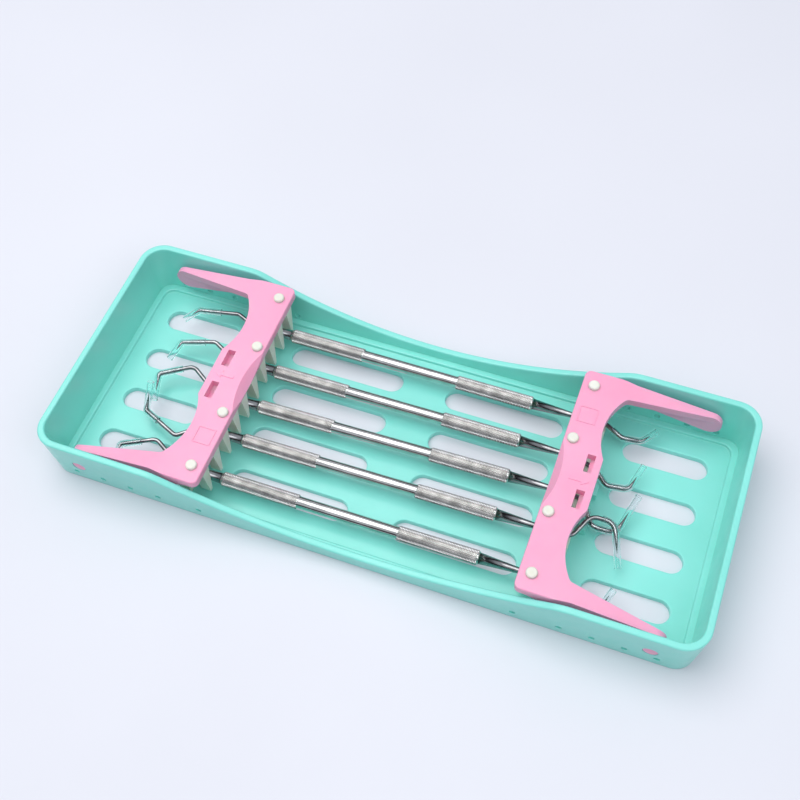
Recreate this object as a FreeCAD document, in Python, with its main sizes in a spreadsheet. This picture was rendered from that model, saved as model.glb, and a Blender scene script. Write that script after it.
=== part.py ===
import FreeCAD, Part
import math
import os

import Sketcher
from FreeCAD import Placement, Rotation, Vector

# Instrument tray with two hinged clamps and five double-ended instruments.
# Millimetres. Origin: centre of the tray's underside. X runs along the tray, Z is up.

DOC = FreeCAD.newDocument("InstrumentTray")
SHEET = DOC.addObject("Spreadsheet::Sheet", "Sizes")

SIZES = {
    # tray shell
    "TrayLength": 210.0,
    "TrayWidth": 84.0,
    "TrayHeight": 20.0,
    "FootLength": 206.0,
    "FootWidth": 80.0,
    "FootRadius": 6.0,
    "WallDraft": 5.7106,
    "WallThickness": 2.2,
    "FloorThickness": 2.0,
    "LedgeHeight": 1.0,
    "LedgeWidth": 2.0,
    "FootEdgeRadius": 0.8,
    "CavityRadius": 4.4,
    "WellRadius": 3.6,
    "RimRadius": 0.6,
    "LedgeRadius": 0.5,
    # dips in the long walls
    "DipRadius": 160.0,
    "DipLowest": 6.6,
    "ShoulderRadius": 14.0,
    # floor slots
    "SlotWidth": 7.6,
    "SlotPitch": 16.72,
    "SlotRows": 4,
    "EndSlotInner": 66.7,
    "EndSlotOuter": 93.5,
    "MidSlotInner": 7.5,
    "MidSlotOuter": 46.9,
    "SlotEdgeRadius": 0.35,
    # holes in the long walls
    "VentDiameter": 2.0,
    "VentHeight": 4.8,
    "PivotX": 90.5,
    "PivotZ": 9.7,
    "PinDiameter": 4.4,
    "PinFit": 0.08,
    "PinReach": 40.7,
    # two posts moulded on the floor beside each clamp
    "PostInner": 60.9,
    "PostOuter": 63.3,
    "PostWidth": 4.4,
    "PostPitch": 12.6,
    "PostCount": 2,
    "PostTop": 5.0,
    "PostRoot": 0.5,
    # clamp
    "ClampTop": 19.0,
    "PlateThickness": 2.7,
    "CrossbarHalf": 38.9,
    "CrossbarInner": 49.5,
    "CrossbarOuter": 62.7,
    "CrossbarWaist": 60.0,
    "WaistHalf": 9.0,
    "ArmBaseX": 64.2,
    "ArmBaseY": 32.0,
    "ArmOuter": 38.1,
    "ArmThickness": 1.9,
    "ArmTipX": 89.6,
    "ArmTipZ": 11.4,
    "ArmTipRadius": 4.1,
    "ArmBendX": 63.0,
    "ArmBendRadius": 60.0,
    "KneeX": 64.0,
    "KneeZ": 12.4,
    "KneeRun": 3.5,
    "TaperStart": 60.0,
    "TaperEnd": 66.0,
    "TopEdgeRadius": 0.45,
    "FlangeEndX": 91.0,
    "CrossbarCornerRadius": 2.0,
    "ArmRootRadius": 2.0,
    "WindowInner": 58.0,
    "WindowOuter": 60.5,
    "WindowNear": 3.2,
    "WindowFar": 9.4,
    "BossX": 60.8,
    "BossY": 7.2,
    "BossRadius": 1.7,
    "BossBottom": 13.0,
    "BossCover": 1.0,
    "ScoopDepth": 2.4,
    "ScoopDrop": 2.5,
    "ScoopHalf": 12.0,
    "MarkHeight": 0.2,
    "MarkRoot": 0.1,
    "ArrowTail": 54.6,
    "ArrowTip": 60.8,
    "ArrowHead": 2.2,
    "ArrowHalf": 1.5,
    "ArrowShaftHalf": 0.55,
    "FrameX": 54.2,
    "FrameY": 22.5,
    "FrameHalf": 2.9,
    "FrameLine": 0.3,
    # silicone combs and rests
    "NotchPitch": 14.2,
    "NotchCount": 5,
    "CombInner": 51.4,
    "CombOuter": 55.8,
    "CombThickness": 1.6,
    "CombHalf": 35.0,
    "ProngInner": 49.8,
    "ProngLength": 3.4,
    "ProngRootHalf": 2.0,
    "ProngTipHalf": 0.55,
    "ProngTipZ": 4.0,
    "ProngSpread": 3.75,
    "StudShank": 2.3,
    "StudHead": 3.5,
    "StudHeight": 1.2,
    "StudFit": 0.1,
    "StudRoot": 0.2,
    "StudDome": 0.6,
    "StudOuterX": 53.3,
    "StudOuterY": 33.3,
    "StudInnerX": 52.2,
    "StudInnerY": 13.1,
    "RestInner": 56.2,
    "RestOuter": 59.8,
    "RestHalf": 34.5,
    "RestTop": 8.0,
    "RestSeat": 5.6,
    "RestMouth": 3.2,
    "RestSeatHalf": 1.85,
    "RestEdgeRadius": 0.4,
    # instruments
    "AxisHeight": 7.2,
    "HandleHalf": 41.8,
    "KnurlLength": 26.0,
    "KnurlDiameter": 4.6,
    "GripDiameter": 3.8,
    "KnurlEdge": 0.35,
    "ShankStart": 3.5,
    "ShankEnd": 1.5,
    "ShankLength": 15.2,
    "WireDiameter": 1.4,
    "WireRoot": 0.5,
    "SleeveOuter": 2.2,
    "SleeveBore": 1.5,
}

MARGIN = 0.05
VENT_PLACES = (50.4, 64.3, 74.0, 83.5, 92.9)

# One row per instrument, back to front: centre X, axis Y at the tray's middle,
# skew about Z and roll of the left and the right tip about the handle, degrees.
INSTRUMENTS = (
    (-6.0, 28.4, 0.0, -8.0, 12.0),
    (-5.8, 13.6, 0.45, -8.0, 12.0),
    (-5.2, 0.0, 1.15, -8.0, 9.5),
    (-4.9, -13.5, 0.8, -8.0, 15.0),
    (-5.3, -28.65, 0.35, -8.0, 12.0),
)

# Tip routes in the plane of each tip: (along the handle, sideways, bend radius).
# The sleeve starts on a leg at a share of its length; the wire ends on the last leg.
LEFT_TIPS = (
    {"route": ((62.6, -2.2, 2.5), (76.3, 0.4, 1.2), (79.8, 5.2, 0)),
     "sleeve": (1, 0.44), "wire_end": 0.5},
    {"route": ((65.2, -4.3, 2.5), (76.2, -0.9, 1.0), (77.7, 5.9, 0)),
     "sleeve": (1, 0.30), "wire_end": 0.45},
    {"route": ((68.0, -7.3, 3.0), (78.3, -1.6, 1.2), (76.0, 7.5, 0)),
     "sleeve": (1, 0.32), "wire_end": 0.65},
    {"route": ((63.5, 5.0, 2.0), (76.2, -0.4, 1.0), (79.0, -10.2, 0)),
     "sleeve": (1, 0.60), "wire_end": 0.58},
    {"route": ((67.3, -5.9, 3.0), (78.0, -0.9, 1.2), (76.9, 5.5, 0)),
     "sleeve": (1, 0.42), "wire_end": 0.6},
)
RIGHT_TIPS = (
    {"route": ((65.5, 0.3, 6), (71.5, -2.8, 4), (77.5, -2.3, 3), (81.4, 2.4, 0)),
     "sleeve": (1, 0.45), "wire_end": 0.55},
    {"route": ((66.0, -1.6, 3), (71.0, -6.2, 3), (77.8, -5.4, 2.5), (80.3, 3.2, 0)),
     "sleeve": (1, 0.47), "wire_end": 0.52},
    {"route": ((65.6, -0.7, 3), (69.3, -8.2, 4), (77.2, -8.2, 3.5), (80.9, 5.0, 0)),
     "sleeve": (1, 0.38), "wire_end": 0.55},
    {"route": ((65.0, 0.0, 3), (68.9, 7.7, 4), (76.2, 7.7, 4), (80.5, -5.2, 0)),
     "sleeve": (2, 0.45), "wire_end": 0.68},
    {"route": ((66.5, -1.8, 3), (71.3, -6.4, 3), (78.5, -5.5, 2.5), (81.5, 3.0, 0)),
     "sleeve": (1, 0.47), "wire_end": 0.75},
)


def fill_sheet():
    """Write every driving dimension into the sheet, one alias per row."""
    for row, (alias, number) in enumerate(SIZES.items(), start=1):
        SHEET.set("A%d" % row, alias)
        SHEET.set("B%d" % row, str(number))
        SHEET.setAlias("B%d" % row, alias)
    DOC.recompute()


def size(formula):
    """Number that a formula of the sheet's aliases gives, such as 'TrayLength / 2'."""
    return float(SHEET.evalExpression(formula))


def linked(formula):
    """The same formula as seen from another object of the document."""
    words = []
    for word in formula.split():
        bare = word.strip("()")
        words.append(word.replace(bare, "Sizes." + bare) if bare in SIZES else word)
    return " ".join(words)


def drive(feature, prop, formula):
    feature.setExpression(prop, linked(formula))


def new_body(label):
    body = DOC.addObject("PartDesign::Body", label)
    body.Label = label
    return body


def new_sketch(body, name, role, offset=None):
    """Sketch on one of the body's own origin planes, moved along its normal by a formula."""
    sketch = body.newObject("Sketcher::SketchObject", name)
    plane = [item for item in body.Origin.OriginFeatures if item.Role == role][0]
    sketch.AttachmentSupport = [(plane, "")]
    sketch.MapMode = "FlatFace"
    if offset:
        drive(sketch, "AttachmentOffset.Base.z", offset)
    return sketch


def bound(sketch, kind, parts, formula):
    """Add a dimension whose value follows the sheet."""
    index = sketch.addConstraint(Sketcher.Constraint(kind, *parts, size(formula)))
    drive(sketch, "Constraints[%d]" % index, formula)


def line(sketch, start, end):
    return sketch.addGeometry(Part.LineSegment(Vector(*start, 0), Vector(*end, 0)), False)


def arc(sketch, start, middle, end):
    points = [Vector(*point, 0) for point in (start, middle, end)]
    return sketch.addGeometry(Part.Arc(*points), False)


def round_corner(before, corner, after, radius):
    """Start, middle and end of the arc that rounds a corner between two straight runs."""
    start, bend, end = (Vector(*point, 0) for point in (before, corner, after))
    come, leave = (bend - start).normalize(), (end - bend).normalize()
    half_turn = come.getAngle(leave) / 2
    trim = radius * math.tan(half_turn)
    sag = radius * (1 / math.cos(half_turn) - 1)
    points = (bend - come * trim, bend + (leave - come).normalize() * sag, bend + leave * trim)
    return [(point.x, point.y) for point in points]


def circle(sketch, x, y, diameter):
    """Circle placed by two formulas, with its diameter on the sheet."""
    centre = Vector(size(x), size(y), 0)
    ring = sketch.addGeometry(Part.Circle(centre, Vector(0, 0, 1), size(diameter) / 2), False)
    bound(sketch, "Diameter", (ring,), diameter)
    for kind, formula in (("DistanceX", x), ("DistanceY", y)):
        if size(formula) > 0:
            bound(sketch, kind, (-1, 1, ring, 3), formula)
        elif size(formula) < 0:
            bound(sketch, kind, (ring, 3, -1, 1), "-1 * ( " + formula + " )")
    return ring


def polygon(sketch, corners):
    for start, end in zip(corners, corners[1:] + corners[:1]):
        line(sketch, start, end)


def rectangle(sketch, low, high):
    polygon(sketch, [(low[0], low[1]), (high[0], low[1]), (high[0], high[1]), (low[0], high[1])])


def rounded_rectangle(sketch, length, width, radius):
    """Centred rounded rectangle held by tangencies and three dimensions of the sheet."""
    half_x, half_y, bend = size(length) / 2, size(width) / 2, size(radius)
    in_x, in_y = half_x - bend, half_y - bend
    turn = bend * math.sqrt(0.5)
    sides, bends = [], []
    for sx, sy in ((1, -1), (1, 1), (-1, 1), (-1, -1)):
        middle = (sx * (in_x + turn), sy * (in_y + turn))
        ends = [(sx * in_x, sy * half_y), (sx * half_x, sy * in_y)]
        if sx * sy > 0:
            ends.reverse()
        bends.append(arc(sketch, ends[0], middle, ends[1]))
    starts = [(half_x, -in_y), (in_x, half_y), (-half_x, in_y), (-in_x, -half_y)]
    stops = [(half_x, in_y), (-in_x, half_y), (-half_x, -in_y), (in_x, -half_y)]
    for start, stop in zip(starts, stops):
        sides.append(line(sketch, start, stop))
    for index in range(4):
        bend_in, side, bend_out = bends[index], sides[index], bends[(index + 1) % 4]
        sketch.addConstraint(Sketcher.Constraint("Tangent", bend_in, 2, side, 1))
        sketch.addConstraint(Sketcher.Constraint("Tangent", side, 2, bend_out, 1))
    for bend_geometry in bends[1:]:
        sketch.addConstraint(Sketcher.Constraint("Equal", bends[0], bend_geometry))
    sketch.addConstraint(Sketcher.Constraint("Vertical", sides[0]))
    sketch.addConstraint(Sketcher.Constraint("Horizontal", sides[1]))
    sketch.addConstraint(Sketcher.Constraint("Symmetric", sides[0], 1, sides[2], 1, -1, 1))
    sketch.addConstraint(Sketcher.Constraint("Symmetric", sides[1], 1, sides[3], 1, -1, 1))
    bound(sketch, "DistanceX", (sides[2], 1, sides[0], 1), length)
    bound(sketch, "DistanceY", (sides[3], 1, sides[1], 1), width)
    bound(sketch, "Radius", (bends[0],), radius)


def obround(sketch, start_x, end_x, y, width):
    """Slot with round ends along X, from start_x to end_x."""
    half = width / 2
    left, right = min(start_x, end_x) + half, max(start_x, end_x) - half
    line(sketch, (left, y - half), (right, y - half))
    arc(sketch, (right, y - half), (right + half, y), (right, y + half))
    line(sketch, (right, y + half), (left, y + half))
    arc(sketch, (left, y + half), (left - half, y), (left, y - half))


def pad(body, name, sketch, length, symmetric=False, reverse=False, taper=None):
    feature = body.newObject("PartDesign::Pad", name)
    feature.Profile = sketch
    drive(feature, "Length", length)
    feature.Reversed = reverse
    if symmetric:
        feature.SideType = "Symmetric"
    if taper:
        drive(feature, "TaperAngle", taper)
    DOC.recompute()
    return feature


def pocket(body, name, sketch, depth=None, symmetric=False, reverse=False, taper=None):
    """Cut a sketch into the body and stop if nothing was cut."""
    before = body.Shape.Volume
    feature = body.newObject("PartDesign::Pocket", name)
    feature.Profile = sketch
    feature.Reversed = reverse
    if depth:
        drive(feature, "Length", depth)
    else:
        feature.Type = "ThroughAll"
    if symmetric:
        feature.SideType = "Symmetric"
    if taper:
        drive(feature, "TaperAngle", taper)
    DOC.recompute()
    if body.Shape.Volume > before - 1e-3:
        raise RuntimeError(name + " cut nothing")
    return feature


def repeat_along_y(body, name, feature, pitch, count):
    """Linear pattern along +Y."""
    pattern = body.newObject("PartDesign::LinearPattern", name)
    pattern.Originals = [feature]
    axis = [item for item in body.Origin.OriginFeatures if item.Role == "Y_Axis"][0]
    pattern.Direction = (axis, [""])
    drive(pattern, "Length", pitch + " * ( " + count + " - 1 )")
    drive(pattern, "Occurrences", count)
    body.Tip = pattern
    DOC.recompute()
    return pattern


def fillet(body, name, base, radius, chosen):
    """Fillet the edges of a feature for which chosen(edge) is true."""
    edges = [index for index, edge in enumerate(base.Shape.Edges, start=1) if chosen(edge)]
    feature = body.newObject("PartDesign::Fillet", name)
    feature.Base = (base, ["Edge%d" % index for index in edges])
    drive(feature, "Radius", radius)
    DOC.recompute()
    return feature


def outline_above(feature, height):
    """Test for an edge round the group of faces that look up and lie above a height."""
    group = []
    for face in feature.Shape.Faces:
        low_u, high_u, low_v, high_v = face.ParameterRange
        normal = face.normalAt((low_u + high_u) / 2, (low_v + high_v) / 2)
        if normal.z > 0.5 and face.BoundBox.ZMin > height:
            group.append(face)

    def chosen(edge):
        touching = [face for face in group if any(edge.isSame(side) for side in face.Edges)]
        return len(touching) == 1

    return chosen


def within(edge, half_x, half_y):
    """True for an edge that stays inside a centred rectangle of the plan."""
    box = edge.BoundBox
    return max(-box.XMin, box.XMax) < half_x and max(-box.YMin, box.YMax) < half_y


def flat_at(edge, height):
    box = edge.BoundBox
    return abs(box.ZMin - height) < 1e-4 and abs(box.ZMax - height) < 1e-4


def upright_at(edge, places):
    """True for a vertical edge that stands at one of the given (x, y) places."""
    box = edge.BoundBox
    if box.XLength > 1e-3 or box.YLength > 1e-3:
        return False
    return any(math.hypot(box.XMin - x, box.YMin - y) < MARGIN for x, y in places)


# ---------------------------------------------------------------- tray

def dip_outline(sketch):
    """Region above the long wall's rim: a wide arc between two convex shoulders."""
    top, radius, shoulder = size("TrayHeight"), size("DipRadius"), size("ShoulderRadius")
    centre_z = size("DipLowest") + radius
    drop = centre_z - (top - shoulder)
    shoulder_x = math.sqrt((radius + shoulder) ** 2 - drop ** 2)
    share = radius / (radius + shoulder)
    meet = (shoulder_x * share, centre_z - drop * share)
    lean = math.atan2(shoulder_x - meet[0], meet[1] - (top - shoulder))
    bulge = (shoulder_x - shoulder * math.sin(lean / 2),
             top - shoulder + shoulder * math.cos(lean / 2))
    above = top + shoulder
    arc(sketch, (-meet[0], meet[1]), (0, size("DipLowest")), meet)
    arc(sketch, meet, bulge, (shoulder_x, top))
    line(sketch, (shoulder_x, top), (shoulder_x, above))
    line(sketch, (shoulder_x, above), (-shoulder_x, above))
    line(sketch, (-shoulder_x, above), (-shoulder_x, top))
    arc(sketch, (-shoulder_x, top), (-bulge[0], bulge[1]), (-meet[0], meet[1]))


def make_tray():
    body = new_body("tray_base")
    foot = new_sketch(body, "Foot", "XY_Plane")
    rounded_rectangle(foot, "FootLength", "FootWidth", "FootRadius")
    shell = pad(body, "Shell", foot, "TrayHeight", taper="WallDraft")
    shell = fillet(body, "FootEdge", shell, "FootEdgeRadius", lambda edge: flat_at(edge, 0))

    # The cavity is drawn at the height of the ledge and widens upwards like the walls.
    slope = " * tan( WallDraft * 1 deg )"
    ledge = "( FloorThickness + LedgeHeight )"
    grow = "2 * " + ledge + slope + " - 2 * WallThickness"
    mouth = new_sketch(body, "Cavity", "XY_Plane", ledge)
    rounded_rectangle(mouth, "FootLength + " + grow, "FootWidth + " + grow, "CavityRadius")
    pocket(body, "CavityCut", mouth, "TrayHeight", reverse=True, taper="WallDraft")

    well = new_sketch(body, "Well", "XY_Plane", "FloorThickness")
    grow_well = grow + " - 2 * LedgeWidth"
    rounded_rectangle(well, "FootLength + " + grow_well, "FootWidth + " + grow_well, "WellRadius")
    cut = pocket(body, "WellCut", well, "LedgeHeight", reverse=True)
    ledge_z = size(ledge)
    well_half = [size("( Foot%s - LedgeWidth ) / 2 - WallThickness" % way) for way in ("Length", "Width")]
    fillet(body, "LedgeEdge", cut, "LedgeRadius",
           lambda edge: flat_at(edge, ledge_z) and within(edge, *well_half))

    dips = new_sketch(body, "Dips", "XZ_Plane")
    dip_outline(dips)
    cut = pocket(body, "DipCut", dips, "2 * TrayWidth", symmetric=True)
    fillet(body, "RimEdges", cut, "RimRadius", outline_above(cut, size("DipLowest - RimRadius")))

    slots = new_sketch(body, "Slots", "XY_Plane", "FloorThickness")
    first_row = -1.5 * size("SlotPitch")
    for side in (-1, 1):
        for inner, outer in (("EndSlotInner", "EndSlotOuter"), ("MidSlotInner", "MidSlotOuter")):
            obround(slots, side * size(inner), side * size(outer), first_row, size("SlotWidth"))
    row = pocket(body, "SlotRow", slots)
    rows = repeat_along_y(body, "SlotRepeat", row, "SlotPitch", "SlotRows")
    floor_z = size("FloorThickness")
    fillet(body, "SlotEdges", rows, "SlotEdgeRadius",
           lambda edge: flat_at(edge, floor_z) and within(edge, *well_half))

    posts = new_sketch(body, "Posts", "XY_Plane", "FloorThickness - PostRoot")
    first_post = -size("PostPitch * ( PostCount - 1 ) / 2")
    half_post = size("PostWidth / 2")
    inner, outer = size("PostInner"), size("PostOuter")
    for low, high in ((inner, outer), (-outer, -inner)):
        rectangle(posts, (low, first_post - half_post), (high, first_post + half_post))
    post = pad(body, "PostPair", posts, "PostTop - FloorThickness + PostRoot")
    repeat_along_y(body, "PostRepeat", post, "PostPitch", "PostCount")

    vents = new_sketch(body, "Vents", "XZ_Plane")
    for place in VENT_PLACES:
        circle(vents, str(place), "VentHeight", "VentDiameter")
        circle(vents, "-1 * " + str(place), "VentHeight", "VentDiameter")
    pocket(body, "VentCut", vents, "2 * TrayWidth", symmetric=True)

    pivots = new_sketch(body, "Pivots", "XZ_Plane")
    circle(pivots, "PivotX", "PivotZ", "PinDiameter + 2 * PinFit")
    circle(pivots, "-1 * PivotX", "PivotZ", "PinDiameter + 2 * PinFit")
    pocket(body, "PivotCut", pivots, "2 * TrayWidth", symmetric=True)
    return body


# ---------------------------------------------------------------- clamps

def arm_lines():
    """The bend of the arm's top line as (enter, middle, leave), and where it meets the round end."""
    inner, bend = (size("CrossbarInner"), size("ClampTop")), (size("ArmBendX"), size("ClampTop"))
    centre, radius = (size("ArmTipX"), size("ArmTipZ")), size("ArmTipRadius")
    upper = tangent_point(bend, centre, radius, 1)
    return round_corner(inner, bend, upper, size("ArmBendRadius")), upper


def arm_profile(sketch):
    """Side view of the clamp: flat crossbar, sloping arm and a round end over the pivot."""
    top, under, inner = size("ClampTop"), size("ClampTop - PlateThickness"), size("CrossbarInner")
    tip_x, tip_z, radius = size("ArmTipX"), size("ArmTipZ"), size("ArmTipRadius")
    knee = (size("KneeX"), size("KneeZ"))
    run = inner + size("KneeRun")
    (enter, middle, leave), upper = arm_lines()
    lower = tangent_point(knee, (tip_x, tip_z), radius, -1)
    line(sketch, (inner, under), (inner, top))
    line(sketch, (inner, top), enter)
    arc(sketch, enter, middle, leave)
    line(sketch, leave, upper)
    arc(sketch, upper, (tip_x + radius, tip_z), lower)
    line(sketch, lower, knee)
    line(sketch, knee, (run, under))
    line(sketch, (run, under), (inner, under))


def tangent_point(point, centre, radius, side):
    """Where a line from a point touches a circle, above (1) or below (-1) it."""
    dx, dz = centre[0] - point[0], centre[1] - point[1]
    reach = math.hypot(dx, dz)
    lean = math.atan2(dz, dx) + side * math.asin(radius / reach)
    run = math.sqrt(reach ** 2 - radius ** 2)
    return (point[0] + run * math.cos(lean), point[1] + run * math.sin(lean))


def clamp_opening(sketch):
    """Plan of the gap between the arms, with the crossbar's scalloped outer edge."""
    edge, waist, half = size("CrossbarOuter"), size("CrossbarWaist"), size("WaistHalf")
    root = (size("ArmBaseX"), size("ArmBaseY"))
    inside = size("ArmOuter - ArmThickness")
    end_x, past = size("FlangeEndX"), size("ArmTipX + 2 * ArmTipRadius")
    middle_y = (half + root[1]) / 2
    line(sketch, (edge, -half), (edge, half))
    arc(sketch, (edge, half), (waist, middle_y), root)
    line(sketch, root, (end_x, inside))
    line(sketch, (end_x, inside), (past, inside))
    line(sketch, (past, inside), (past, -inside))
    line(sketch, (past, -inside), (end_x, -inside))
    line(sketch, (end_x, -inside), (root[0], -root[1]))
    arc(sketch, (root[0], -root[1]), (waist, -middle_y), (edge, -half))


def underside_profile(sketch):
    """Side view of the hollow below the top plate, between the two arms."""
    drop, start = size("PlateThickness"), size("CrossbarInner - PlateThickness")
    (enter, middle, leave), upper = arm_lines()
    fall = (upper[1] - leave[1]) / (upper[0] - leave[0])
    far, below = size("ArmTipX + 2 * ArmTipRadius"), -drop
    enter, middle, leave = ((x, z - drop) for x, z in (enter, middle, leave))
    line(sketch, (start, enter[1]), enter)
    arc(sketch, enter, middle, leave)
    end = (far, leave[1] + fall * (far - leave[0]))
    corners = [leave, end, (far, below), (start, below), (start, enter[1])]
    for first, second in zip(corners, corners[1:]):
        line(sketch, first, second)


def trim_outline(sketch):
    """Plan of the two wedges that make the arms narrower than the crossbar."""
    wide, narrow = size("CrossbarHalf"), size("ArmOuter")
    start, end = size("TaperStart"), size("TaperEnd")
    past, beyond = size("ArmTipX + 2 * ArmTipRadius"), size("CrossbarHalf + ArmThickness")
    for side in (-1, 1):
        polygon(sketch, [(start, side * wide), (end, side * narrow), (past, side * narrow),
                         (past, side * beyond), (start, side * beyond)])


def draw_marks(sketch):
    """Raised arrow that points outwards along X, and a raised square frame beside it."""
    tail, tip, neck = size("ArrowTail"), size("ArrowTip"), size("ArrowTip - ArrowHead")
    shaft, head = size("ArrowShaftHalf"), size("ArrowHalf")
    polygon(sketch, [(tail, -shaft), (neck, -shaft), (neck, -head), (tip, 0),
                     (neck, head), (neck, shaft), (tail, shaft)])
    x, y = size("FrameX"), size("FrameY")
    for half in (size("FrameHalf"), size("FrameHalf - FrameLine")):
        rectangle(sketch, (x - half, y - half), (x + half, y + half))


def soften_outline(body, base):
    """Round the crossbar's corners, the arm roots and the crossbar's top edges."""
    inner, outer = size("CrossbarInner"), size("CrossbarHalf")
    corners = [(inner, outer), (inner, -outer)]
    ends = fillet(body, "Corners", base, "CrossbarCornerRadius",
                  lambda edge: upright_at(edge, corners))
    roots = [(size("ArmBaseX"), size("ArmBaseY")), (size("ArmBaseX"), -size("ArmBaseY"))]
    plan = fillet(body, "ArmRoots", ends, "ArmRootRadius", lambda edge: upright_at(edge, roots))
    on_top, last_x = outline_above(plan, size("PivotZ")), size("TaperStart")
    fillet(body, "TopEdges", plan, "TopEdgeRadius",
           lambda edge: on_top(edge) and edge.BoundBox.XMax < last_x + MARGIN)


def make_clamp(label):
    body = new_body(label)
    side = new_sketch(body, "Side", "XZ_Plane")
    arm_profile(side)
    pad(body, "Blank", side, "2 * CrossbarHalf", symmetric=True)

    trim = new_sketch(body, "Trim", "XY_Plane")
    trim_outline(trim)
    pocket(body, "TrimCut", trim, reverse=True)

    pins = new_sketch(body, "Pins", "XZ_Plane")
    circle(pins, "PivotX", "PivotZ", "PinDiameter")
    pad(body, "PinBar", pins, "2 * PinReach", symmetric=True)

    opening = new_sketch(body, "Opening", "XY_Plane")
    clamp_opening(opening)
    cut = pocket(body, "OpeningCut", opening, reverse=True)
    soften_outline(body, cut)

    hollow = new_sketch(body, "Hollow", "XZ_Plane")
    underside_profile(hollow)
    pocket(body, "HollowCut", hollow, "2 * ( ArmOuter - ArmThickness )", symmetric=True)

    bosses = new_sketch(body, "Bosses", "XY_Plane", "BossBottom")
    circle(bosses, "BossX", "BossY", "2 * BossRadius")
    circle(bosses, "BossX", "-1 * BossY", "2 * BossRadius")
    pad(body, "BossPair", bosses, "ClampTop - BossBottom - BossCover")

    windows = new_sketch(body, "Windows", "XY_Plane", "ClampTop")
    near, far = size("WindowNear"), size("WindowFar")
    for low, high in ((near, far), (-far, -near)):
        rectangle(windows, (size("WindowInner"), low), (size("WindowOuter"), high))
    pocket(body, "WindowCut", windows, "PlateThickness")

    studs = new_sketch(body, "StudHoles", "XY_Plane", "ClampTop")
    for x, y in (("StudOuterX", "StudOuterY"), ("StudInnerX", "StudInnerY")):
        circle(studs, x, y, "StudShank + StudFit")
        circle(studs, x, "-1 * " + y, "StudShank + StudFit")
    pocket(body, "StudHoleCut", studs, "PlateThickness")

    scoop = body.newObject("PartDesign::SubtractiveCone", "Scoop")
    reach = "( ScoopHalf ^ 2 + ScoopDepth ^ 2 ) / ( 2 * ScoopDepth )"
    drive(scoop, "Radius1", reach + " - ScoopDepth")
    drive(scoop, "Radius2", reach)
    drive(scoop, "Height", "ScoopDrop")
    centre_x = size("CrossbarInner + ScoopDepth") - size(reach)
    scoop.Placement = Placement(Vector(centre_x, 0, size("ClampTop - ScoopDrop")), Rotation())
    body.Tip = scoop
    DOC.recompute()

    marks = new_sketch(body, "Marks", "XY_Plane", "ClampTop - MarkRoot")
    draw_marks(marks)
    pad(body, "MarkPad", marks, "MarkHeight + MarkRoot")
    return body


def make_comb(label):
    """Silicone strip under the crossbar: ten tapered prongs and four headed studs."""
    body = new_body(label)
    strip_top = "( ClampTop - PlateThickness )"
    strip = new_sketch(body, "Strip", "XY_Plane", strip_top + " - CombThickness")
    half = size("CombHalf")
    rectangle(strip, (size("CombInner"), -half), (size("CombOuter"), half))
    pad(body, "StripPad", strip, "CombThickness")

    prongs = new_sketch(body, "Prongs", "YZ_Plane", "ProngInner")
    notch = -size("NotchPitch * ( NotchCount - 1 ) / 2")
    root, tip, spread = size("ProngRootHalf"), size("ProngTipHalf"), size("ProngSpread")
    root_z, tip_z = size(strip_top), size("ProngTipZ")
    for centre in (notch - spread, notch + spread):
        polygon(prongs, [(centre - root, root_z), (centre - tip, tip_z),
                         (centre + tip, tip_z), (centre + root, root_z)])
    pair = pad(body, "ProngPair", prongs, "ProngLength")
    repeat_along_y(body, "ProngRepeat", pair, "NotchPitch", "NotchCount")

    places = (("StudOuterX", "StudOuterY"), ("StudInnerX", "StudInnerY"))
    shanks = new_sketch(body, "Shanks", "XY_Plane", strip_top + " - StudRoot")
    heads = new_sketch(body, "Heads", "XY_Plane", "ClampTop")
    for sketch, diameter in ((shanks, "StudShank"), (heads, "StudHead")):
        for x, y in places:
            circle(sketch, x, y, diameter)
            circle(sketch, x, "-1 * " + y, diameter)
    pad(body, "ShankPad", shanks, "PlateThickness + 2 * StudRoot")
    tops = pad(body, "HeadPad", heads, "StudHeight")
    head_top = size("ClampTop + StudHeight")
    fillet(body, "Domes", tops, "StudDome", lambda edge: flat_at(edge, head_top))
    return body


def make_rest(label):
    """Silicone rest on the floor, with a V seat for each instrument."""
    body = new_body(label)
    outline = new_sketch(body, "Outline", "YZ_Plane", "RestInner")
    floor, top, seat = size("FloorThickness"), size("RestTop"), size("RestSeat")
    half, mouth, seat_half = size("RestHalf"), size("RestMouth"), size("RestSeatHalf")
    corners = [(half, floor), (half, top)]
    for index in range(int(size("NotchCount"))):
        notch = size("NotchPitch") * (int(size("NotchCount")) // 2 - index)
        corners += [(notch + mouth, top), (notch + seat_half, seat),
                    (notch - seat_half, seat), (notch - mouth, top)]
    corners += [(-half, top), (-half, floor)]
    polygon(outline, corners)
    block = pad(body, "RestPad", outline, "RestOuter - RestInner")
    fillet(body, "RestEdges", block, "RestEdgeRadius", lambda edge: flat_at(edge, top))
    return body


# ---------------------------------------------------------------- instruments

def revolve(body, name, sketch):
    feature = body.newObject("PartDesign::Revolution", name)
    feature.Profile = sketch
    feature.ReferenceAxis = (sketch, ["H_Axis"])
    feature.Angle = 360
    DOC.recompute()
    return feature


def make_handle(label):
    body = new_body(label)
    profile = new_sketch(body, "Profile", "XY_Plane")
    half, knurl, edge = size("HandleHalf"), size("KnurlLength"), size("KnurlEdge")
    fat, thin = size("KnurlDiameter / 2"), size("GripDiameter / 2")
    right_side = [(half - knurl, thin), (half - knurl, fat - edge), (half - knurl + edge, fat),
                  (half - edge, fat), (half, fat - edge), (half, 0)]
    left_side = [(-x, y) for x, y in reversed(right_side)]
    polygon(profile, left_side + right_side)
    revolve(body, "Turned", profile)
    return body


def point_between(start, end, share):
    return (start[0] + (end[0] - start[0]) * share, start[1] + (end[1] - start[1]) * share, 0)


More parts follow.
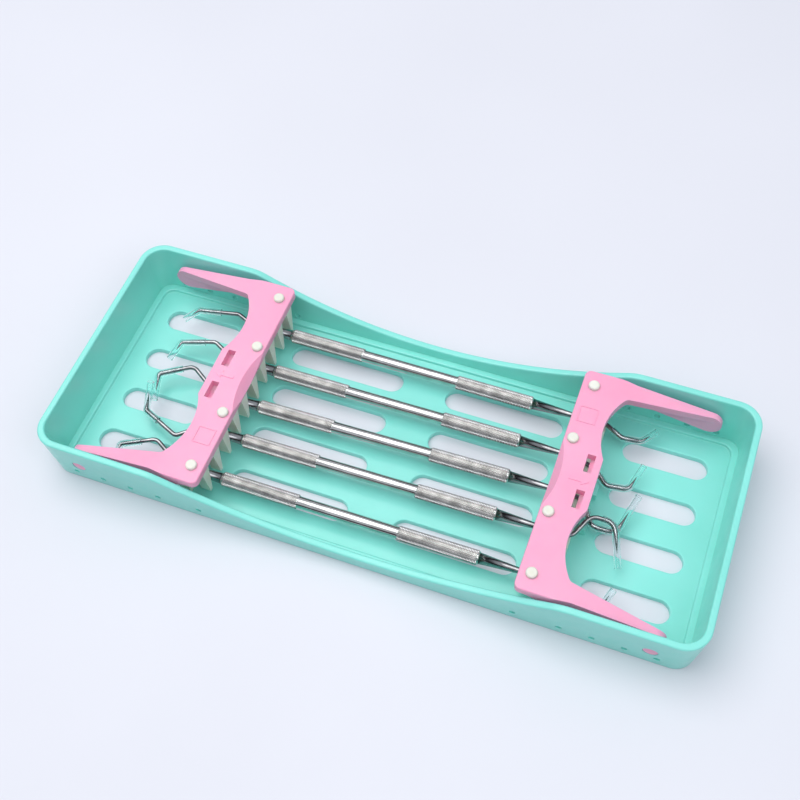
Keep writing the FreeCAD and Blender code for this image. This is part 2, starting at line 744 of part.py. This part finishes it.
def draw_route(sketch, corners):
    """Open path of straight legs joined by tangent arcs; each corner is (x, y, radius)."""
    begin = corners[0][:2]
    for before, corner, after in zip(corners, corners[1:], corners[2:]):
        enter, middle, leave = round_corner(before[:2], corner[:2], after[:2], corner[2])
        line(sketch, begin, enter)
        arc(sketch, enter, middle, leave)
        begin = leave
    line(sketch, begin, corners[-1][:2])


def sweep(body, name, kind, diameter, corners):
    """Round pipe along a route, added to the body or taken out of it."""
    path = new_sketch(body, name + "Path", "XY_Plane")
    draw_route(path, corners)
    section = new_sketch(body, name + "Section", "YZ_Plane")
    (x0, y0), (x1, y1) = corners[0][:2], corners[1][:2]
    heading = math.degrees(math.atan2(y1 - y0, x1 - x0))
    section.AttachmentOffset = Placement(Vector(y0, 0, x0), Rotation(Vector(0, 1, 0), heading))
    ring = section.addGeometry(Part.Circle(Vector(), Vector(0, 0, 1), size(diameter) / 2), False)
    section.addConstraint(Sketcher.Constraint("Coincident", ring, 3, -1, 1))
    bound(section, "Diameter", (ring,), diameter)
    pipe = body.newObject("PartDesign::" + kind, name)
    pipe.Profile = section
    pipe.Spine = path
    DOC.recompute()
    return pipe


def make_tip(label, tip):
    """Turned shank that leaves the handle, and the bent wire that grows out of it."""
    body = new_body(label)
    start, end = size("HandleHalf"), size("HandleHalf + ShankLength")
    profile = new_sketch(body, "Profile", "XY_Plane")
    thick, thin = size("ShankStart / 2"), size("ShankEnd / 2")
    polygon(profile, [(start, 0), (start, thick), (end, thin), (end, 0)])
    revolve(body, "Shank", profile)
    corners = [(size("HandleHalf + ShankLength - WireRoot"), 0, 0)] + list(tip["route"])
    corners[-1] = point_between(corners[-2], corners[-1], tip["wire_end"])
    sweep(body, "Wire", "AdditivePipe", "WireDiameter", corners)
    return body


def make_sleeve(label, tip):
    """Clear tube pushed over the tip of the wire."""
    body = new_body(label)
    leg, share = tip["sleeve"]
    corners = [(size("HandleHalf + ShankLength"), 0, 0)] + list(tip["route"])
    route = [point_between(corners[leg], corners[leg + 1], share)] + corners[leg + 1:]
    sweep(body, "Tube", "AdditivePipe", "SleeveOuter", route)
    sweep(body, "Bore", "SubtractivePipe", "SleeveBore", route)
    return body


def make_instruments():
    bodies = []
    turned = Placement(Vector(), Rotation(Vector(0, 0, 1), 180))
    for number, row in enumerate(INSTRUMENTS, start=1):
        centre_x, middle_y, skew, left_roll, right_roll = row
        y = middle_y + centre_x * math.tan(math.radians(skew))
        lie = Placement(Vector(centre_x, y, size("AxisHeight")), Rotation(Vector(0, 0, 1), skew))
        handle = make_handle("handle_%d" % number)
        handle.Placement = lie
        bodies.append(handle)
        ends = (("left", LEFT_TIPS, left_roll, lie.multiply(turned)),
                ("right", RIGHT_TIPS, right_roll, lie))
        for side, tips, roll, place in ends:
            rolled = place.multiply(Placement(Vector(), Rotation(Vector(1, 0, 0), roll)))
            tip = make_tip("%s_tip_%d" % (side, number), tips[number - 1])
            sleeve = make_sleeve("%s_sleeve_%d" % (side, number), tips[number - 1])
            for body in (tip, sleeve):
                body.Placement = rolled
                bodies.append(body)
    return bodies


# ---------------------------------------------------------------- assembly

def make_all():
    fill_sheet()
    bodies = [make_tray()]
    for side, angle in (("left", 180), ("right", 0)):
        place = Placement(Vector(), Rotation(Vector(0, 0, 1), angle))
        pieces = (make_rest(side + "_rest_strip"), make_clamp(side + "_clamp"),
                  make_comb(side + "_comb"))
        for body in pieces:
            body.Placement = place
            bodies.append(body)
    bodies += make_instruments()
    DOC.recompute()
    return bodies


def check(bodies):
    for item in DOC.Objects:
        if "Invalid" in item.State or "Error" in item.State:
            raise RuntimeError("%s is %s" % (item.Name, item.State))
    for body in bodies:
        if body.Shape.isNull() or not body.Shape.isValid():
            raise RuntimeError(body.Label + " has no valid shape")
        print("%-18s %d solid, %9.1f mm3" % (body.Label, len(body.Shape.Solids), body.Shape.Volume))


def write(bodies):
    os.makedirs("parts", exist_ok=True)
    for body in bodies:
        body.Shape.exportStep(os.path.join("parts", body.Label + ".step"))


ALL_BODIES = make_all()
check(ALL_BODIES)
write(ALL_BODIES)
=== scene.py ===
import math

import bmesh
import bpy
from mathutils import Matrix, Vector


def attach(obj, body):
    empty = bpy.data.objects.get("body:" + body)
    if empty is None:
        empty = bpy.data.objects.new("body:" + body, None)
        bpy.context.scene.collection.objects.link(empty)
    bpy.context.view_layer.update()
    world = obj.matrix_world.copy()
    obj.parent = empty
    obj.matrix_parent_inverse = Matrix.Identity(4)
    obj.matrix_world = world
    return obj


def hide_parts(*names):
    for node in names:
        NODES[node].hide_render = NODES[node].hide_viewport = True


# Instrument tray: a mint plastic tray, two pink hinged clamps with silicone combs,
# and five double-ended steel instruments with clear sleeves on their tips.
# Metres, in the frame of the CAD model: X along the tray, Z up.

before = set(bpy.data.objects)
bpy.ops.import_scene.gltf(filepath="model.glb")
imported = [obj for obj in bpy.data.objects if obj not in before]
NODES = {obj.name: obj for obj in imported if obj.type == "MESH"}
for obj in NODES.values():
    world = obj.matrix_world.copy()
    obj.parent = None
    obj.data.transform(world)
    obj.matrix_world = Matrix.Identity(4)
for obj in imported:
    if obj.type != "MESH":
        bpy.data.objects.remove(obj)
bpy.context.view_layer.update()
MM = 0.001

# ---------------------------------------------------------------- sizes of the CAD model

AXIS_HEIGHT = 7.2
HANDLE_HALF = 41.8
KNURL_LENGTH = 26.0
KNURL_RADIUS = 2.3
GRIP_RADIUS = 1.9
SHANK_START_RADIUS = 1.75
SHANK_END_RADIUS = 0.75
SHANK_LENGTH = 15.2
WIRE_RADIUS = 0.7

# centre X, axis Y, skew about Z, roll of the left and the right tip, in mm and degrees
INSTRUMENTS = (
    (-6.0, 28.4, 0.0, -8.0, 12.0),
    (-5.8, 13.6, 0.45, -8.0, 12.0),
    (-5.2, 0.0, 1.15, -8.0, 9.5),
    (-4.9, -13.5, 0.8, -8.0, 15.0),
    (-5.3, -28.65, 0.35, -8.0, 12.0),
)

# Each tip's bends as (along, sideways, bend radius), then its end, in the plane of the tip.
LEFT_TIPS = (
    ((62.6, -2.2, 2.5), (76.3, 0.4, 1.2), (79.8, 5.2, 0.5)),
    ((65.2, -4.3, 2.5), (76.2, -0.9, 1.0), (77.7, 5.9, 0.45)),
    ((68.0, -7.3, 3.0), (78.3, -1.6, 1.2), (76.0, 7.5, 0.65)),
    ((63.5, 5.0, 2.0), (76.2, -0.4, 1.0), (79.0, -10.2, 0.58)),
    ((67.3, -5.9, 3.0), (78.0, -0.9, 1.2), (76.9, 5.5, 0.6)),
)
RIGHT_TIPS = (
    ((65.5, 0.3, 6), (71.5, -2.8, 4), (77.5, -2.3, 3), (81.4, 2.4, 0.55)),
    ((66.0, -1.6, 3), (71.0, -6.2, 3), (77.8, -5.4, 2.5), (80.3, 3.2, 0.52)),
    ((65.6, -0.7, 3), (69.3, -8.2, 4), (77.2, -8.2, 3.5), (80.9, 5.0, 0.55)),
    ((65.0, 0.0, 3), (68.9, 7.7, 4), (76.2, 7.7, 4), (80.5, -5.2, 0.68)),
    ((66.5, -1.8, 3), (71.3, -6.4, 3), (78.5, -5.5, 2.5), (81.5, 3.0, 0.75)),
)

# ---------------------------------------------------------------- nodes of a material

NOISE_ROUGHNESS = 0.55
NOISE_LOW = 0.3
NOISE_HIGH = 0.7


class Look:
    """A Principled material whose sockets are set or linked by short calls."""

    def __init__(self, name, **values):
        self.material = bpy.data.materials.new(name)
        self.material.use_nodes = True
        self.tree = self.material.node_tree
        self.shader = self.tree.nodes["Principled BSDF"]
        self.place = self.node("ShaderNodeTexCoord").outputs["Object"]
        for socket, value in values.items():
            self.shader.inputs[socket.replace("_", " ")].default_value = value

    def node(self, kind):
        return self.tree.nodes.new(kind)

    def link(self, output, socket):
        self.tree.links.new(output, socket)

    def noise(self, scale, detail, stretch=(1, 1, 1)):
        """Noise over the object; scale counts blotches per metre."""
        mapping = self.node("ShaderNodeMapping")
        mapping.inputs["Scale"].default_value = stretch
        self.link(self.place, mapping.inputs["Vector"])
        noise = self.node("ShaderNodeTexNoise")
        noise.inputs["Scale"].default_value = scale
        noise.inputs["Detail"].default_value = detail
        noise.inputs["Roughness"].default_value = NOISE_ROUGHNESS
        self.link(mapping.outputs["Vector"], noise.inputs["Vector"])
        return noise.outputs["Fac"]

    def spread(self, value, low, high):
        """The middle of a noise's range, spread over low to high."""
        spread = self.node("ShaderNodeMapRange")
        spread.inputs["From Min"].default_value = NOISE_LOW
        spread.inputs["From Max"].default_value = NOISE_HIGH
        spread.inputs["To Min"].default_value = low
        spread.inputs["To Max"].default_value = high
        self.link(value, spread.inputs["Value"])
        return spread.outputs["Result"]

    def colour(self, value, dark, light):
        """Base colour that runs from dark to light with the value."""
        ramp = self.node("ShaderNodeValToRGB")
        first, last = ramp.color_ramp.elements
        first.position, last.position = NOISE_LOW, NOISE_HIGH
        first.color, last.color = (*dark, 1), (*light, 1)
        self.link(value, ramp.inputs["Fac"])
        self.link(ramp.outputs["Color"], self.shader.inputs["Base Color"])

    def rough(self, value, low, high):
        self.link(self.spread(value, low, high), self.shader.inputs["Roughness"])

    def bump(self, value, depth):
        """Relief of the given depth in metres."""
        bump = self.node("ShaderNodeBump")
        bump.inputs["Strength"].default_value = 1.0
        bump.inputs["Distance"].default_value = depth
        self.link(value, bump.inputs["Height"])
        self.link(bump.outputs["Normal"], self.shader.inputs["Normal"])


def srgb(red, green, blue):
    """Linear colour of an 8-bit sRGB triple."""
    shares = (red / 255, green / 255, blue / 255)
    return tuple(s / 12.92 if s <= 0.04045 else ((s + 0.055) / 1.055) ** 2.4 for s in shares)


# ---------------------------------------------------------------- materials


def tray_look():
    """Mint moulded plastic: faintly cloudy, glossy, with a fine moulded texture."""
    look = Look("mint_plastic", IOR=1.5, Subsurface_Weight=0.25, Subsurface_Scale=0.003,
                Coat_Weight=0.3, Coat_Roughness=0.2)
    look.shader.inputs["Subsurface Radius"].default_value = (0.5, 1.0, 0.9)
    look.colour(look.noise(35, 3), srgb(131, 224, 211), srgb(141, 231, 219))
    look.rough(look.noise(260, 5), 0.28, 0.4)
    look.bump(look.noise(2600, 3), 0.00001)
    return look.material


def clamp_look():
    """Pink moulded plastic of the clamps, with a little light inside it."""
    look = Look("pink_plastic", IOR=1.5, Subsurface_Weight=0.3, Subsurface_Scale=0.002,
                Coat_Weight=0.1, Coat_Roughness=0.2)
    look.shader.inputs["Subsurface Radius"].default_value = (1.0, 0.35, 0.6)
    look.colour(look.noise(45, 3), srgb(245, 163, 195), srgb(249, 173, 203))
    look.rough(look.noise(300, 5), 0.3, 0.42)
    look.bump(look.noise(2400, 3), 0.00001)
    return look.material


def silicone_look():
    """Milky soft silicone with a dusty, dull surface."""
    look = Look("milky_silicone", IOR=1.41, Subsurface_Weight=0.5, Subsurface_Scale=0.002)
    look.shader.inputs["Subsurface Radius"].default_value = (1.0, 0.9, 0.7)
    look.colour(look.noise(120, 4), srgb(226, 226, 210), srgb(238, 238, 226))
    look.rough(look.noise(500, 4), 0.45, 0.62)
    look.bump(look.noise(1800, 4), 0.00002)
    return look.material


def turned_steel_look():
    """Chromed handle: bright, with lathe marks round the axis."""
    look = Look("turned_steel", Metallic=1.0)
    look.colour(look.noise(220, 4), srgb(178, 177, 175), srgb(212, 211, 209))
    look.rough(look.noise(400, 4, (6, 1, 1)), 0.08, 0.16)
    look.bump(look.noise(900, 3, (8, 1, 1)), 0.000006)
    return look.material


def tip_steel_look():
    """Polished tips with faint drawing marks along the wire."""
    look = Look("tip_steel", Metallic=1.0)
    look.colour(look.noise(300, 4), srgb(124, 124, 126), srgb(166, 166, 167))
    look.rough(look.noise(700, 4, (1, 4, 4)), 0.1, 0.2)
    look.bump(look.noise(1500, 3, (1, 5, 5)), 0.000004)
    return look.material


def sleeve_look():
    """Clear soft tube with slightly uneven walls."""
    look = Look("clear_sleeve", IOR=1.2, Transmission_Weight=1.0)
    look.colour(look.noise(300, 3), srgb(240, 250, 250), srgb(252, 255, 255))
    look.rough(look.noise(900, 3), 0.02, 0.08)
    look.bump(look.noise(700, 3), 0.00001)
    return look.material


def floor_look():
    """Matt pale sheet under the tray."""
    look = Look("pale_sheet")
    look.shader.inputs["Specular IOR Level"].default_value = 0.2
    look.colour(look.noise(6, 2), srgb(221, 222, 229), srgb(225, 226, 233))
    look.rough(look.noise(60, 3), 0.6, 0.75)
    return look.material


# ---------------------------------------------------------------- meshes


def new_piece(name, mesh, material, body, node):
    """Put a mesh on its body with its finish, and hide the CAD node that it stands for."""
    piece = bpy.data.objects.new(name, mesh)
    bpy.context.scene.collection.objects.link(piece)
    mesh.materials.append(material)
    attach(piece, body)
    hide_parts(node)


def mesh_of(name, bm, place):
    """Finish a bmesh drawn in mm and put it in place in the row frame."""
    bmesh.ops.recalc_face_normals(bm, faces=bm.faces[:])
    bm.transform(Matrix.Scale(MM, 4) @ place)
    mesh = bpy.data.meshes.new(name)
    bm.to_mesh(mesh)
    bm.free()
    return mesh


def ring_at(bm, x, radius, count):
    """Ring of points about the X axis."""
    ring = []
    for index in range(count):
        turn = 2 * math.pi * index / count
        ring.append(bm.verts.new((x, radius * math.cos(turn), radius * math.sin(turn))))
    return ring


def bridge(bm, first, second):
    """Smooth quads between two rings of the same count."""
    count = len(first)
    for index in range(count):
        after = (index + 1) % count
        quad = bm.faces.new((first[index], first[after], second[after], second[index]))
        quad.smooth = True


def close_ring(bm, ring, x):
    """Fan from a ring to a point on the axis."""
    tip = bm.verts.new((x, 0, 0))
    for index in range(len(ring)):
        bm.faces.new((ring[index], ring[(index + 1) % len(ring)], tip))


# ---------------------------------------------------------------- handles

KNURL_ROUND = 22
KNURL_PITCH = 0.9
KNURL_DEPTH = 0.26
KNURL_TOP_SHARE = 0.2
CHAMFER = 0.35
ROUND_STEPS = 2 * KNURL_ROUND


def knurl_point(step, row, pitch, start, radius):
    turn = 2 * math.pi * step / ROUND_STEPS
    return Vector((start + row * pitch / 2, radius * math.cos(turn), radius * math.sin(turn)))


def knurl(bm, start, length):
    """Diamond knurl about X between two plain rings, which it returns."""
    rows = 2 * round(length / KNURL_PITCH)
    pitch = 2 * length / rows
    low = KNURL_RADIUS - KNURL_DEPTH
    corners = {}
    for row in range(rows + 1):
        for step in range(ROUND_STEPS):
            if (step + row) % 2 or row in (0, rows):
                corners[step, row] = bm.verts.new(knurl_point(step, row, pitch, start, low))
    for row in range(rows + 1):
        for step in range(row % 2, ROUND_STEPS, 2):
            sides = [(step - 1, row), (step, row - 1), (step + 1, row), (step, row + 1)]
            around = [corners.get((s % ROUND_STEPS, r)) for s, r in sides]
            if row in (0, rows):
                middle = corners[step, row]
                inner = around[3] if row == 0 else around[1]
                bm.faces.new((around[0], middle, inner))
                bm.faces.new((middle, around[2], inner))
                continue
            peak = knurl_point(step, row, pitch, start, KNURL_RADIUS)
            tops = [bm.verts.new(flat_top(peak, corner.co)) for corner in around]
            for index in range(4):
                after = (index + 1) % 4
                bm.faces.new((around[index], around[after], tops[after], tops[index]))
            bm.faces.new(tops)
    return [[corners[step, row] for step in range(ROUND_STEPS)] for row in (0, rows)]


def flat_top(peak, corner):
    """Corner of a diamond's small flat top, a share of the way to the groove."""
    point = peak.lerp(corner, KNURL_TOP_SHARE)
    lift = KNURL_RADIUS / math.hypot(point.y, point.z)
    return Vector((point.x, point.y * lift, point.z * lift))


def handle_mesh(name, place):
    """Round handle with a knurled grip at each end and a plain middle."""
    bm = bmesh.new()
    inner = HANDLE_HALF - KNURL_LENGTH
    length = KNURL_LENGTH - 2 * CHAMFER
    rings = []
    for first_end, last_end in ((-HANDLE_HALF, -inner), (inner, HANDLE_HALF)):
        grip = knurl(bm, first_end + CHAMFER, length)
        rings += [ring_at(bm, first_end, GRIP_RADIUS, ROUND_STEPS), grip,
                  ring_at(bm, last_end, GRIP_RADIUS, ROUND_STEPS)]
    left_end, left_grip, left_in, right_in, right_grip, right_end = rings
    for first, second in ((left_end, left_grip[0]), (left_grip[1], left_in), (left_in, right_in),
                          (right_in, right_grip[0]), (right_grip[1], right_end)):
        bridge(bm, first, second)
    close_ring(bm, left_end, -HANDLE_HALF)
    close_ring(bm, right_end, HANDLE_HALF)
    return mesh_of(name, bm, place)


# ---------------------------------------------------------------- tips

TUBE_STEPS = 20
BEND_STEPS = 10
POINT_RADIUS = 0.06
POINT_CURVE = 0.8
TAPER_SHARE = 0.8


def tip_line(bends):
    """Points along a tip: the shank's axis, round bends, and the end of the wire."""
    corners = [Vector((HANDLE_HALF, 0, 0))] + [Vector((u, v, 0)) for u, v, _ in bends]
    corners[-1] = corners[-2].lerp(corners[-1], bends[-1][2])
    points = [corners[0], Vector((HANDLE_HALF + SHANK_LENGTH, 0, 0))]
    corners[0] = points[-1]
    for index, (_, _, radius) in enumerate(bends[:-1], start=1):
        come = (corners[index] - corners[index - 1]).normalized()
        leave = (corners[index + 1] - corners[index]).normalized()
        turn = come.angle(leave)
        trim = radius * math.tan(turn / 2)
        enter = corners[index] - come * trim
        side = (leave - come * leave.dot(come)).normalized()
        centre = enter + side * radius
        for step in range(BEND_STEPS + 1):
            angle = turn * step / BEND_STEPS
            points.append(centre + (come * math.sin(angle) - side * math.cos(angle)) * radius)
    points.append(corners[-1])
    return points


def tip_radius(run, total):
    """Radius of the tip at a distance from the handle: cone, wire, then a fine point."""
    if run <= SHANK_LENGTH:
        return SHANK_START_RADIUS + (SHANK_END_RADIUS - SHANK_START_RADIUS) * run / SHANK_LENGTH
    share = (run - SHANK_LENGTH) / (total - SHANK_LENGTH)
    if share <= TAPER_SHARE:
        return SHANK_END_RADIUS + (WIRE_RADIUS - SHANK_END_RADIUS) * share / TAPER_SHARE
    left = (1 - share) / (1 - TAPER_SHARE)
    return POINT_RADIUS + (WIRE_RADIUS - POINT_RADIUS) * left ** POINT_CURVE


def tip_mesh(name, place, bends):
    points = tip_line(bends)
    runs = [0.0]
    for before, after in zip(points, points[1:]):
        runs.append(runs[-1] + (after - before).length)
    bm = bmesh.new()
    rings = []
    for index, point in enumerate(points):
        ahead = points[min(index + 1, len(points) - 1)] - points[max(index - 1, 0)]
        across = Vector((-ahead.y, ahead.x, 0)).normalized()
        radius = tip_radius(runs[index], runs[-1])
        ring = []
        for step in range(TUBE_STEPS):
            turn = 2 * math.pi * step / TUBE_STEPS
            offset = across * math.cos(turn) + Vector((0, 0, 1)) * math.sin(turn)
            ring.append(bm.verts.new(point + offset * radius))
        rings.append(ring)
    for first, second in zip(rings, rings[1:]):
        bridge(bm, first, second)
    bm.faces.new(rings[0])
    bm.faces.new(rings[-1])
    return mesh_of(name, bm, place)


def turned(axis, degrees):
    return Matrix.Rotation(math.radians(degrees), 4, axis)


def make_instruments(handle_steel, tip_steel, sleeve):
    for number, (centre_x, middle_y, skew, left_roll, right_roll) in enumerate(INSTRUMENTS, 1):
        y = middle_y + centre_x * math.tan(math.radians(skew))
        lie = Matrix.Translation((centre_x, y, AXIS_HEIGHT)) @ turned("Z", skew)
        name = "knurled_handle_%d" % number
        mesh = handle_mesh(name, lie)
        new_piece(name, mesh, handle_steel, "tray", "handle_%d" % number)
        ends = (
            ("left", LEFT_TIPS, left_roll, lie @ turned("Z", 180)),
            ("right", RIGHT_TIPS, right_roll, lie),
        )
        for side, tips, roll, place in ends:
            name = "%s_pointed_tip_%d" % (side, number)
            mesh = tip_mesh(name, place @ turned("X", roll), tips[number - 1])
            new_piece(name, mesh, tip_steel, "tray", "%s_tip_%d" % (side, number))
            dress(NODES["%s_sleeve_%d" % (side, number)], sleeve)


# ---------------------------------------------------------------- moulded parts


def dress(node, material):
    """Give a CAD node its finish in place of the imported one."""
    node.data.materials.clear()
    node.data.materials.append(material)


def dress_moulded_parts(tray, clamp, silicone):
    dress(NODES["tray_base"], tray)
    for side in ("left", "right"):
        dress(NODES[side + "_clamp"], clamp)
        dress(NODES[side + "_comb"], silicone)
        dress(NODES[side + "_rest_strip"], silicone)


# ---------------------------------------------------------------- floor, light, camera

FLOOR_HALF = 3.0
HORIZON_TOP = 0.3
HORIZON_COLOUR = (0.03, 0.03, 0.035, 1)
ROOM_START = 0.5
ROOM_COLOUR = (0.88, 0.92, 1.0, 1)
ROOM_STRENGTH = 0.75

# name, place, diameter in metres, power in watts, colour
LIGHTS = (
    ("softbox", (-0.3, 0.02, 0.95), 1.0, 6.2, (1.0, 0.99, 0.98)),
    ("fill", (0.7, -0.35, 0.9), 0.7, 2.2, (0.97, 0.98, 1.0)),
)

LENS = 53.01
SENSOR_WIDTH = 36.0
NEAR_CLIP = 0.01
FAR_CLIP = 20.0
EYE_DISTANCE = 0.387407
EYE_AZIMUTH = 23.605
EYE_ELEVATION = 57.271
EYE_ROLL = -3.963
TARGET = Vector((-0.006802, 0.020297, 0.0))


def make_floor(material):
    bm = bmesh.new()
    bmesh.ops.create_grid(bm, x_segments=2, y_segments=2, size=FLOOR_HALF)
    mesh = bpy.data.meshes.new("floor")
    bm.to_mesh(mesh)
    bm.free()
    floor = bpy.data.objects.new("floor", mesh)
    bpy.context.scene.collection.objects.link(floor)
    mesh.materials.append(material)


def area_light(name, place, size, power, colour):
    """Soft round light that faces the middle of the tray."""
    data = bpy.data.lights.new(name, "AREA")
    data.shape = "DISK"
    data.size = size
    data.energy = power
    data.color = colour
    light = bpy.data.objects.new(name, data)
    bpy.context.scene.collection.objects.link(light)
    light.location = place
    light.rotation_mode = "QUATERNION"
    light.rotation_quaternion = (-Vector(place)).to_track_quat("-Z", "Y")


def make_world():
    """Pale room overhead and a darker band near the horizon, which draws lines along chrome."""
    world = bpy.data.worlds.new("pale_room")
    world.use_nodes = True
    tree = world.node_tree
    place = tree.nodes.new("ShaderNodeTexCoord")
    split = tree.nodes.new("ShaderNodeSeparateXYZ")
    ramp = tree.nodes.new("ShaderNodeValToRGB")
    tree.links.new(place.outputs["Generated"], split.inputs["Vector"])
    tree.links.new(split.outputs["Z"], ramp.inputs["Fac"])
    elements = ramp.color_ramp.elements
    elements[0].position, elements[0].color = HORIZON_TOP, HORIZON_COLOUR
    elements[1].position, elements[1].color = ROOM_START, ROOM_COLOUR
    background = tree.nodes["Background"]
    tree.links.new(ramp.outputs["Color"], background.inputs["Color"])
    background.inputs["Strength"].default_value = ROOM_STRENGTH
    bpy.context.scene.world = world


def make_lights():
    for light in LIGHTS:
        area_light(*light)


def make_camera():
    data = bpy.data.cameras.new("camera")
    data.sensor_width = SENSOR_WIDTH
    data.lens = LENS
    data.clip_start = NEAR_CLIP
    data.clip_end = FAR_CLIP
    azimuth, elevation, roll = (math.radians(d) for d in (EYE_AZIMUTH, EYE_ELEVATION, EYE_ROLL))
    flat = math.cos(elevation)
    back = Vector((math.sin(azimuth) * flat, -math.cos(azimuth) * flat, math.sin(elevation)))
    right = Vector((math.cos(azimuth), math.sin(azimuth), 0))
    up = back.cross(right)
    rolled_right = right * math.cos(roll) + up * math.sin(roll)
    rolled_up = up * math.cos(roll) - right * math.sin(roll)
    turn = Matrix((rolled_right, rolled_up, back)).transposed().to_4x4()
    camera = bpy.data.objects.new("camera", data)
    camera.matrix_world = Matrix.Translation(TARGET + back * EYE_DISTANCE) @ turn
    bpy.context.scene.collection.objects.link(camera)
    bpy.context.scene.camera = camera


bpy.context.scene.view_settings.view_transform = "Standard"
make_camera()
make_world()
make_lights()
make_floor(floor_look())
dress_moulded_parts(tray_look(), clamp_look(), silicone_look())
make_instruments(turned_steel_look(), tip_steel_look(), sleeve_look())
